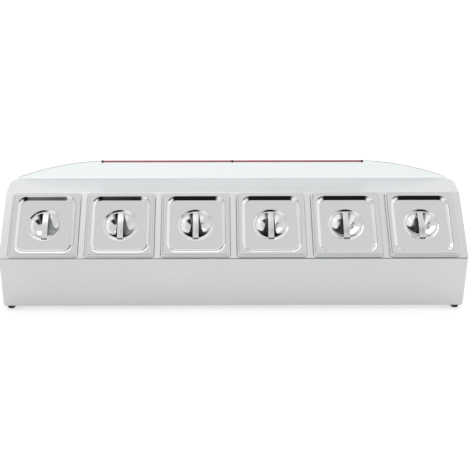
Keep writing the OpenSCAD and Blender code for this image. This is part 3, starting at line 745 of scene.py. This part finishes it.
def studio_floor():
    """A wide matt floor at the height of the feet."""
    material, tree = new_material("matt_white_paper")
    fibre = add_node(tree, "ShaderNodeTexNoise", {"Vector": in_millimetres(tree, FIBRE_MM)},
                     {"Scale": 1.0, "Detail": 2.0}).outputs["Fac"]
    tone = add_node(tree, "ShaderNodeMapRange", {"Value": fibre},
                    {"To Min": PAPER_DARK, "To Max": PAPER_PALE})
    ray = add_node(tree, "ShaderNodeLightPath").outputs
    mirrored = add_node(tree, "ShaderNodeMath",
                        {0: ray["Is Glossy Ray"], 1: ray["Is Transmission Ray"]},
                        operation="MAXIMUM").outputs[0]
    indirect = add_node(tree, "ShaderNodeMath", {0: mirrored}, {1: MIRRORED_GLOW},
                        operation="MULTIPLY").outputs[0]
    direct = add_node(tree, "ShaderNodeMath", {0: ray["Is Camera Ray"]}, {1: PAPER_GLOW},
                      operation="MULTIPLY").outputs[0]
    glow = add_node(tree, "ShaderNodeMath", {0: direct, 1: indirect}, operation="MAXIMUM")
    shader = add_node(tree, "ShaderNodeBsdfPrincipled",
                      {"Base Color": tone.outputs[0], "Emission Strength": glow.outputs[0]},
                      {"Roughness": 0.9, "Specular IOR Level": 0.2,
                       "Emission Color": hex_colour("#FFFFFF")})
    close_material(material, tree, shader)
    mesh = bmesh.new()
    bmesh.ops.create_grid(mesh, x_segments=8, y_segments=8, size=FLOOR_HALF)
    floor = finish_mesh("floor", mesh)
    floor.location.z = -FLOOR_GAP
    floor.data.materials.append(material)
    return floor


print("floor", studio_floor().name, "half size", FLOOR_HALF, "m")

# %% [markdown]
# Polished steel has no colour of its own: it shows the room. A photographer therefore builds
# the reflections first. Here a white tent surrounds the tray, as bright as white paper. Darker
# and brighter patches change it: a black flag behind the camera, the dark room below the tent's
# sides, a brighter low back for the flat top, and small lamps and gaps that draw the marks in
# the lids' walls and corners. Lamps and cards of their own could do the same, but a table of
# patches in the world is easier to read and to change. Directions are given as turn, in degrees
# from the front and positive to the right, side, the same to either side, and rise, in degrees
# above the floor. The camera and the clear guard see at least white.

# %% The tent's patches
TENT = 1.0
PATCHES = [  # name, share added, then limits: direction, where it starts, where it is full
    ("flag behind the camera", -0.985, ("turn", -29, -3), ("turn", 47, 21), ("rise", 72, 64)),
    ("low back", 0.34, ("side", 156, 171), ("rise", 20, 27), ("rise", 46, 36)),
    ("room left of the tent", -0.93, ("turn", -84, -98), ("turn", -138, -130), ("rise", 27, 21)),
    ("room right of the tent", -0.93, ("turn", 84, 98), ("turn", 138, 130), ("rise", 18, 13)),
    ("lamp on the right", 0.32,
     ("turn", 60, 90), ("turn", 156, 146), ("rise", 15, 19), ("rise", 52, 46)),
    ("lamp on the left", 0.14,
     ("turn", -84, -92), ("turn", -126, -116), ("rise", 24, 28), ("rise", 52, 46)),
    ("low lamp, front right", 0.35,
     ("turn", 18, 26), ("turn", 90, 80), ("rise", 18, 22), ("rise", 42, 38)),
    ("gap, front right", -0.95,
     ("turn", 30, 36), ("turn", 64, 58), ("rise", 38, 42), ("rise", 70, 62)),
    ("lamp, front left", 0.35,
     ("turn", -12, -18), ("turn", -50, -44), ("rise", 24, 28), ("rise", 78, 72)),
    ("gap, front left", -0.7,
     ("turn", -50, -54), ("turn", -68, -64), ("rise", 50, 54), ("rise", 72, 68)),
    ("doorway, back left", -0.6, ("turn", -118, -128), ("turn", -166, -154), ("rise", 36, 31)),
    ("seam of the tent, left", -0.45,
     ("turn", -70, -80), ("turn", -140, -130), ("rise", 62, 67), ("rise", 78, 74)),
]
print("patches", len(PATCHES))


# %% Studio
def studio_world():
    """The tent with its patches, as the metal sees it."""
    world = bpy.data.worlds.new("studio")
    bpy.context.scene.world = world
    world.use_nodes = True
    tree = world.node_tree
    tree.nodes.clear()
    place = add_node(tree, "ShaderNodeTexCoord")
    way = add_node(tree, "ShaderNodeSeparateXYZ", {"Vector": place.outputs["Generated"]}).outputs
    front = add_node(tree, "ShaderNodeMath", {0: way["Y"]}, {1: -1.0},
                     operation="MULTIPLY").outputs[0]
    turn = add_node(tree, "ShaderNodeMath", {0: way["X"], 1: front},
                    operation="ARCTAN2").outputs[0]
    side = add_node(tree, "ShaderNodeMath", {0: turn}, operation="ABSOLUTE").outputs[0]
    rise = add_node(tree, "ShaderNodeMath", {0: way["Z"]}, operation="ARCSINE").outputs[0]
    ways = {"turn": turn, "side": side, "rise": rise}
    # The plain tent, the same in every direction: side times 0, plus the tent's level
    tent = add_node(tree, "ShaderNodeMath", {0: side}, {1: 0.0, 2: TENT},
                    operation="MULTIPLY_ADD").outputs[0]
    for _, share, *limits in PATCHES:
        patch = tent
        for number, (name, start, full) in enumerate(limits):
            fade = add_node(tree, "ShaderNodeMapRange", {"Value": ways[name]},
                            {"From Min": math.radians(start), "From Max": math.radians(full),
                             "To Min": 0.0, "To Max": share if number == 0 else 1.0},
                            interpolation_type="SMOOTHSTEP").outputs[0]
            patch = add_node(tree, "ShaderNodeMath", {0: patch, 1: fade},
                             operation="MULTIPLY").outputs[0]
        tent = add_node(tree, "ShaderNodeMath", {0: tent, 1: patch}, operation="ADD").outputs[0]
    ray = add_node(tree, "ShaderNodeLightPath").outputs
    plain = add_node(tree, "ShaderNodeMath",
                     {0: ray["Is Camera Ray"], 1: ray["Is Transmission Ray"]},
                     operation="MAXIMUM").outputs[0]
    white = add_node(tree, "ShaderNodeMath", {0: tent}, {1: 1.0}, operation="MAXIMUM").outputs[0]
    level = add_node(tree, "ShaderNodeMix", {"Factor": plain, 2: tent, 3: white})
    background = add_node(tree, "ShaderNodeBackground", {"Strength": level.outputs[0]},
                          {"Color": hex_colour("#FFFFFF")})
    add_node(tree, "ShaderNodeOutputWorld", {"Surface": background.outputs[0]})
    return world


print("studio world:", len(studio_world().node_tree.nodes), "nodes")

# %% [markdown]
# The tent alone would light the tray from everywhere and leave it flat. One softbox above and
# behind gives the floor its soft shadow and the rubber and vinyl their highlights. It is large
# for its distance, so that no shadow has a hard edge.

# %% Softbox
LAMP_PLACE, LAMP_TARGET = Vector((-0.6, 1.0, 2.4)), Vector((0, 0, 0.15))
LAMP_SIZE, LAMP_WATTS = (2.0, 1.2), 7
softbox = bpy.data.lights.new("top_softbox", "AREA")
softbox.shape = "RECTANGLE"
softbox.size, softbox.size_y = LAMP_SIZE
softbox.energy = LAMP_WATTS
lamp = bpy.data.objects.new("top_softbox", softbox)
bpy.context.scene.collection.objects.link(lamp)
lamp.location = LAMP_PLACE
lamp.rotation_mode = "QUATERNION"
lamp.rotation_quaternion = (LAMP_TARGET - LAMP_PLACE).to_track_quat("-Z", "Y")
print("softbox", lamp.name, LAMP_WATTS, "W")

# %% [markdown]
# The camera stands in front of the tray and a little left of its middle, and looks down at it.
# Its distance, height and lens come from the tray's straight edges in the photograph: where the
# slope's sides would meet, and how much longer the front fold looks than the rear one.

# %% Camera
EYE = Vector((-0.050, -2.2674, 1.311))
PITCH, YAW = 27.54, 0.26
LENS_PX, FRAME_PX = 1058.6, 470
SHIFT_X, SHIFT_Y = 0.0397, 0.0048
SENSOR_MM = 36.0
camera_data = bpy.data.cameras.new("camera")
camera_data.sensor_width = SENSOR_MM
camera_data.lens = SENSOR_MM * LENS_PX / FRAME_PX
camera_data.shift_x, camera_data.shift_y = SHIFT_X, SHIFT_Y
camera = bpy.data.objects.new("camera", camera_data)
bpy.context.scene.collection.objects.link(camera)
camera.location = EYE
camera.rotation_euler = (math.radians(90 - PITCH), 0, -math.radians(YAW))
bpy.context.scene.camera = camera
bpy.context.scene.view_settings.view_transform = "Standard"
print("lens", round(camera_data.lens, 1), "mm")
